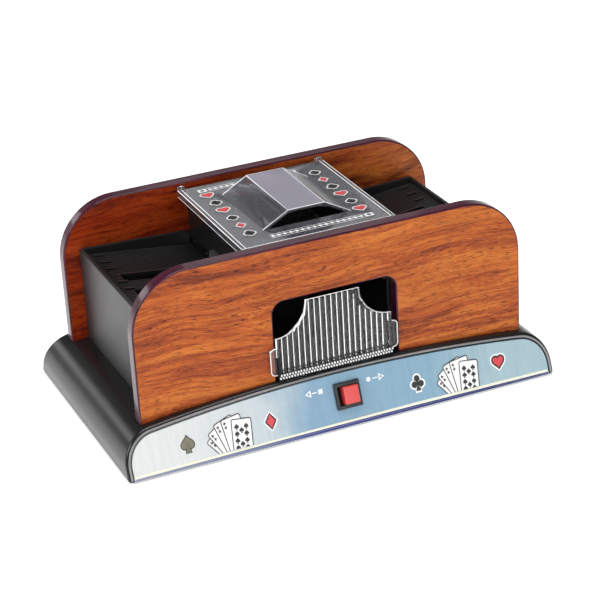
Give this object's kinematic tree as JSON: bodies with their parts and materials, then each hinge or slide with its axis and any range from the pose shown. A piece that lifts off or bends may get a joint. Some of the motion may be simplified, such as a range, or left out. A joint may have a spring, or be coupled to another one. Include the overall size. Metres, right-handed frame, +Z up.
{
  "type": "card shuffler",
  "caption": "Battery card shuffler: arched black base, wood laminate side boards, end feed trays, clear ribbed card drawer and clear top cover.",
  "frame": {"origin": "on the table, under the centre of the base", "axes": "+X to the right along the machine, -Y to the front where the drawer opens, +Z up"},
  "size_m": [0.235, 0.1384, 0.106],
  "materials": {
    "satin_black": "satin moulded",
    "matte_black": "matte moulded",
    "foil": "printed metallic film",
    "laminate": "glossy laminate",
    "clear": "clear",
    "tinted_clear": "smoke tinted clear",
    "red": "gloss",
    "grey": "matte moulded",
    "white": "acetal",
    "rubber": "matte",
    "steel": "bright",
    "brass": "bright",
    "bronze": "sintered",
    "cell": "wrapped can",
    "lead": "insulated lead"
  },
  "bodies": {
    "housing": {"base_shell": "satin_black", "base_plate": "matte_black", "front_panel": "foil", "front_board": "laminate", "rear_board": "laminate", "left_tray": "matte_black", "right_tray": "matte_black", "centre_tower": "satin_black", "switch_body": "satin_black", "battery_box": "matte_black", "battery_cell_1": "cell", "battery_cell_2": "cell", "battery_cell_3": "cell", "battery_cell_4": "cell", "battery_spring_1": "steel", "battery_spring_2": "steel", "battery_spring_3": "steel", "battery_spring_4": "steel", "foot_1": "rubber", "foot_2": "rubber", "foot_3": "rubber", "foot_4": "rubber", "base_screw_1": "steel", "base_screw_2": "steel", "base_screw_3": "steel", "base_screw_4": "steel", "battery_lead": "lead", "left_motor_lead": "lead", "right_motor_lead": "lead", "left_front_bush": "bronze", "left_rear_bush": "bronze", "left_idler_pin": "steel", "left_motor": "steel", "left_gear_plate": "grey", "left_retard_pad": "rubber", "right_front_bush": "bronze", "right_rear_bush": "bronze", "right_idler_pin": "steel", "right_motor": "steel", "right_gear_plate": "grey", "right_retard_pad": "rubber"},
    "drawer": {"card_drawer": "clear"},
    "cover": {"top_cover": "tinted_clear"},
    "knob": {"switch_knob": "red"},
    "door": {"battery_door": "matte_black"},
    "left_roller": {"left_roller_shaft": "steel", "left_front_roller": "rubber", "left_rear_roller": "rubber", "left_roller_gear": "white"},
    "left_idler": {"left_idler_gear": "white"},
    "left_rotor": {"left_motor_shaft": "steel", "left_pinion": "brass"},
    "right_roller": {"right_roller_shaft": "steel", "right_front_roller": "rubber", "right_rear_roller": "rubber", "right_roller_gear": "white"},
    "right_idler": {"right_idler_gear": "white"},
    "right_rotor": {"right_motor_shaft": "steel", "right_pinion": "brass"}
  },
  "joints": [
    {"name": "drawer_slide", "type": "slide", "parent": "housing", "child": "drawer", "axis": [0, -1, 0], "range_m": [0, 0.085]},
    {"name": "cover_lift", "type": "slide", "parent": "housing", "child": "cover", "axis": [0, 0, 1], "range_m": [0, 0.04]},
    {"name": "switch_slide", "type": "slide", "parent": "housing", "child": "knob", "axis": [1, 0, 0], "range_m": [-0.0022, 0]},
    {"name": "door_release", "type": "slide", "parent": "housing", "child": "door", "axis": [0, 0, -1], "range_m": [0, 0.02]},
    {"name": "left_roller_spin", "type": "hinge", "parent": "housing", "child": "left_roller", "pos_m": [-0.048, 0, 0.05664], "axis": [0, 1, 0], "continuous": true},
    {"name": "left_idler_spin", "type": "hinge", "parent": "housing", "child": "left_idler", "pos_m": [-0.05494, 0, 0.04837], "axis": [0, 1, 0], "continuous": true},
    {"name": "left_motor_spin", "type": "hinge", "parent": "housing", "child": "left_rotor", "pos_m": [-0.07006, 0, 0.03975], "axis": [0, 1, 0], "continuous": true},
    {"name": "right_roller_spin", "type": "hinge", "parent": "housing", "child": "right_roller", "pos_m": [0.048, 0, 0.05664], "axis": [0, 1, 0], "continuous": true},
    {"name": "right_idler_spin", "type": "hinge", "parent": "housing", "child": "right_idler", "pos_m": [0.05494, 0, 0.04837], "axis": [0, 1, 0], "continuous": true},
    {"name": "right_motor_spin", "type": "hinge", "parent": "housing", "child": "right_rotor", "pos_m": [0.07006, 0, 0.03975], "axis": [0, 1, 0], "continuous": true}
  ],
  "couplings": [
    {"joint": "left_idler_spin", "follows": "left_roller_spin", "ratio": -2},
    {"joint": "left_motor_spin", "follows": "left_roller_spin", "ratio": 9.6},
    {"joint": "right_idler_spin", "follows": "right_roller_spin", "ratio": -2},
    {"joint": "right_motor_spin", "follows": "right_roller_spin", "ratio": 9.6}
  ]
}
